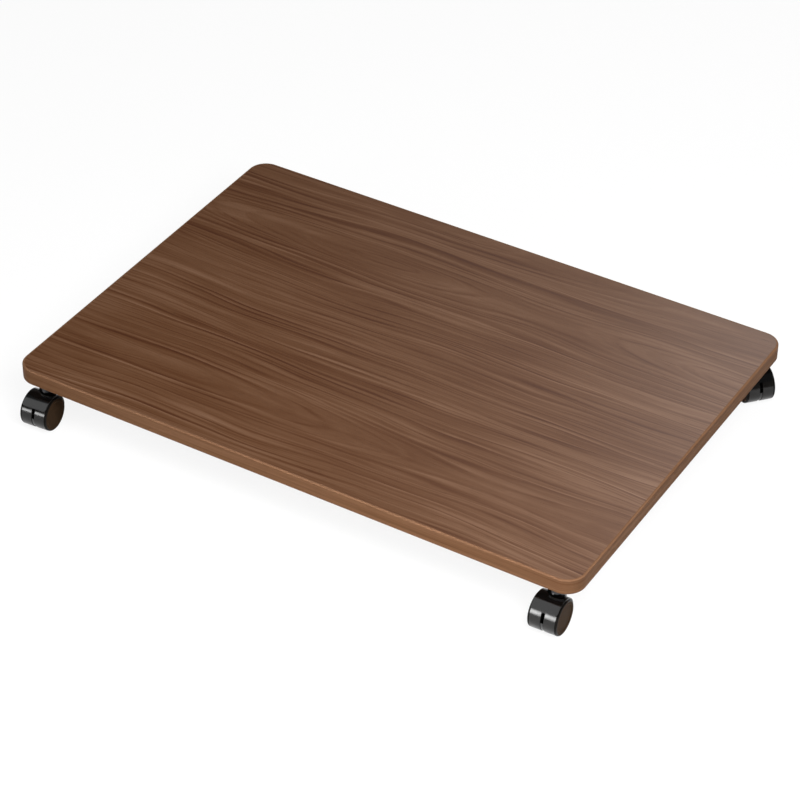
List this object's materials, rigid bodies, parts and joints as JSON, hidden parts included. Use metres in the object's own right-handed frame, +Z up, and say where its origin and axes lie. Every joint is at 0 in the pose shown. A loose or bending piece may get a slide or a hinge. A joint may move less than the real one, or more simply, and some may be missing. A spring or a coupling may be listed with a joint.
{
  "type": "printer stand",
  "caption": "Low rolling platform for a printer: a walnut-look laminated board with rounded corners, carried on small black twin-wheel swivel casters.",
  "frame": {"origin": "on the floor, under the middle of the board", "axes": "+X along the long edge, to the right when seen from the front edge; +Y from the front edge to the back edge; +Z up"},
  "size_m": [0.6105, 0.4469, 0.062],
  "materials": {
    "walnut_top": "satin walnut laminate",
    "walnut_edge": "satin walnut edge band",
    "backing_sheet": "plain matt backing laminate",
    "core_board": "raw particle board",
    "black_nylon": "glossy black moulding",
    "black_wheel": "glossy black moulding",
    "zinc_steel": "zinc plated",
    "spring_steel": "oiled spring steel",
    "white_nylon": "natural nylon"
  },
  "bodies": {
    "board": {"top_laminate": "walnut_top", "edge_band": "walnut_edge", "board_core": "core_board", "bottom_laminate": "backing_sheet", "front_left_insert_nut": "zinc_steel", "front_left_stem": "zinc_steel", "front_left_thrust_washer": "white_nylon", "front_left_snap_ring": "spring_steel", "front_right_insert_nut": "zinc_steel", "front_right_stem": "zinc_steel", "front_right_thrust_washer": "white_nylon", "front_right_snap_ring": "spring_steel", "back_left_insert_nut": "zinc_steel", "back_left_stem": "zinc_steel", "back_left_thrust_washer": "white_nylon", "back_left_snap_ring": "spring_steel", "back_right_insert_nut": "zinc_steel", "back_right_stem": "zinc_steel", "back_right_thrust_washer": "white_nylon", "back_right_snap_ring": "spring_steel"},
    "front_left_caster": {"front_left_housing": "black_nylon", "front_left_axle": "zinc_steel"},
    "front_left_wheel_right": {"front_left_wheel_right": "black_wheel"},
    "front_left_wheel_left": {"front_left_wheel_left": "black_wheel"},
    "front_right_caster": {"front_right_housing": "black_nylon", "front_right_axle": "zinc_steel"},
    "front_right_wheel_right": {"front_right_wheel_right": "black_wheel"},
    "front_right_wheel_left": {"front_right_wheel_left": "black_wheel"},
    "back_left_caster": {"back_left_housing": "black_nylon", "back_left_axle": "zinc_steel"},
    "back_left_wheel_right": {"back_left_wheel_right": "black_wheel"},
    "back_left_wheel_left": {"back_left_wheel_left": "black_wheel"},
    "back_right_caster": {"back_right_housing": "black_nylon", "back_right_axle": "zinc_steel"},
    "back_right_wheel_right": {"back_right_wheel_right": "black_wheel"},
    "back_right_wheel_left": {"back_right_wheel_left": "black_wheel"}
  },
  "joints": [
    {"name": "front_left_swivel", "type": "hinge", "parent": "board", "child": "front_left_caster", "pos_m": [-0.2745, -0.194, 0.038], "axis": [0, 0, 1], "continuous": true},
    {"name": "front_left_roll_right", "type": "hinge", "parent": "front_left_caster", "child": "front_left_wheel_right", "pos_m": [-0.27366, -0.20597, 0.017], "axis": [0.9976, 0.0698, 0], "continuous": true},
    {"name": "front_left_roll_left", "type": "hinge", "parent": "front_left_caster", "child": "front_left_wheel_left", "pos_m": [-0.27366, -0.20597, 0.017], "axis": [0.9976, 0.0698, 0], "continuous": true},
    {"name": "front_right_swivel", "type": "hinge", "parent": "board", "child": "front_right_caster", "pos_m": [0.2745, -0.194, 0.038], "axis": [0, 0, 1], "continuous": true},
    {"name": "front_right_roll_right", "type": "hinge", "parent": "front_right_caster", "child": "front_right_wheel_right", "pos_m": [0.27481, -0.206, 0.017], "axis": [0.9997, 0.0262, 0], "continuous": true},
    {"name": "front_right_roll_left", "type": "hinge", "parent": "front_right_caster", "child": "front_right_wheel_left", "pos_m": [0.27481, -0.206, 0.017], "axis": [0.9997, 0.0262, 0], "continuous": true},
    {"name": "back_left_swivel", "type": "hinge", "parent": "board", "child": "back_left_caster", "pos_m": [-0.2745, 0.194, 0.038], "axis": [0, 0, 1], "continuous": true},
    {"name": "back_left_roll_right", "type": "hinge", "parent": "back_left_caster", "child": "back_left_wheel_right", "pos_m": [-0.28369, 0.20171, 0.017], "axis": [-0.6428, -0.766, 0], "continuous": true},
    {"name": "back_left_roll_left", "type": "hinge", "parent": "back_left_caster", "child": "back_left_wheel_left", "pos_m": [-0.28369, 0.20171, 0.017], "axis": [-0.6428, -0.766, 0], "continuous": true},
    {"name": "back_right_swivel", "type": "hinge", "parent": "board", "child": "back_right_caster", "pos_m": [0.2745, 0.194, 0.038], "axis": [0, 0, 1], "continuous": true},
    {"name": "back_right_roll_right", "type": "hinge", "parent": "back_right_caster", "child": "back_right_wheel_right", "pos_m": [0.28342, 0.18597, 0.017], "axis": [0.6691, 0.7431, 0], "continuous": true},
    {"name": "back_right_roll_left", "type": "hinge", "parent": "back_right_caster", "child": "back_right_wheel_left", "pos_m": [0.28342, 0.18597, 0.017], "axis": [0.6691, 0.7431, 0], "continuous": true}
  ]
}
